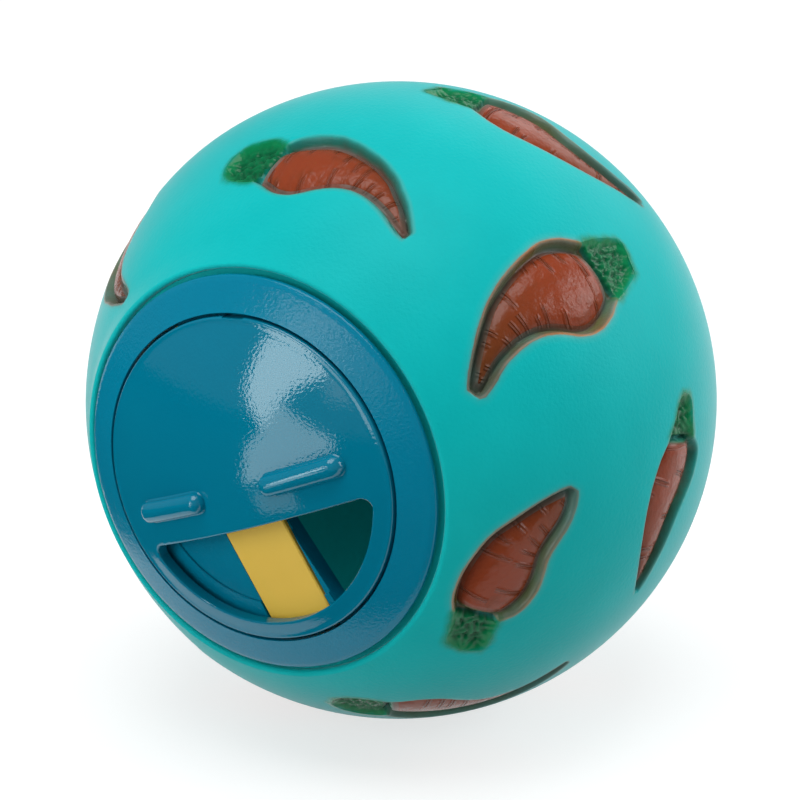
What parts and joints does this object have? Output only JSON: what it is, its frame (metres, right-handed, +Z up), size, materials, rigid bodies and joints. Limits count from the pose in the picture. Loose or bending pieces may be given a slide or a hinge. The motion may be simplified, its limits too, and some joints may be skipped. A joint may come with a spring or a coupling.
{
  "type": "treat dispensing ball",
  "caption": "Hollow soft ball with carrots in sunken relief and a round closure in its side, whose dial turns to open or shut a gate that treats fall through.",
  "frame": {"origin": "lowest point of the ball, where it rests on the ground", "axes": "+Z up, the closure faces -Y, which is also the axis that the dial turns about"},
  "size_m": [0.0747, 0.0739, 0.075],
  "materials": {
    "vinyl": "satin",
    "blue_abs": "gloss",
    "yellow_abs": "satin"
  },
  "bodies": {
    "ball": {"ball_shell": "vinyl", "collar": "blue_abs", "marker_strip": "yellow_abs"},
    "dial": {"dial": "blue_abs", "dial_clip": "blue_abs"}
  },
  "joints": [
    {"name": "dial_turn", "type": "hinge", "parent": "ball", "child": "dial", "pos_m": [0, -0.03, 0.0375], "axis": [0, -1, 0], "continuous": true}
  ]
}
